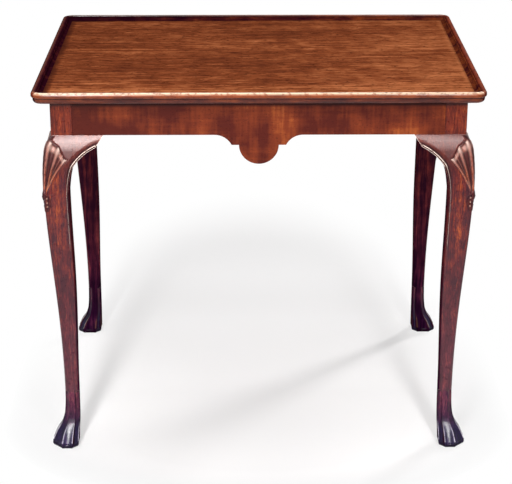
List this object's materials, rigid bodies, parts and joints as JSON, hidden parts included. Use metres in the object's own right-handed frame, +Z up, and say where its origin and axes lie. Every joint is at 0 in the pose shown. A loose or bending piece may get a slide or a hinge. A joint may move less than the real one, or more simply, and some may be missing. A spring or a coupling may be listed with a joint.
{
  "type": "tray top tea table",
  "caption": "Four-legged mahogany tea table: dished rectangular tray top with a moulded rim, aprons with a round central drop, shell-carved cabriole legs, panelled pad feet.",
  "frame": {"origin": "on the floor under the middle of the table", "axes": "+X along the length to the right, +Y to the back, +Z up"},
  "size_m": [0.79, 0.592, 0.692],
  "materials": {
    "mahogany_top": "polished warm golden-red mahogany, grain along the length",
    "mahogany_rails": "polished red-brown figured mahogany",
    "mahogany_legs": "polished dark mahogany, darker at the feet",
    "secondary_wood": "unfinished pine"
  },
  "bodies": {
    "root": {"tray_top": "mahogany_top", "leg_front_left": "mahogany_legs", "leg_front_right": "mahogany_legs", "leg_back_left": "mahogany_legs", "leg_back_right": "mahogany_legs", "bracket_front_left_front": "mahogany_legs", "bracket_front_left_side": "mahogany_legs", "bracket_front_right_front": "mahogany_legs", "bracket_front_right_side": "mahogany_legs", "bracket_back_left_back": "mahogany_legs", "bracket_back_left_side": "mahogany_legs", "bracket_back_right_back": "mahogany_legs", "bracket_back_right_side": "mahogany_legs", "front_rail": "mahogany_rails", "back_rail": "mahogany_rails", "left_rail": "mahogany_rails", "right_rail": "mahogany_rails", "block_front_left": "secondary_wood", "block_front_right": "secondary_wood", "block_back_left": "secondary_wood", "block_back_right": "secondary_wood", "block_left": "secondary_wood", "block_right": "secondary_wood"}
  },
  "joints": []
}
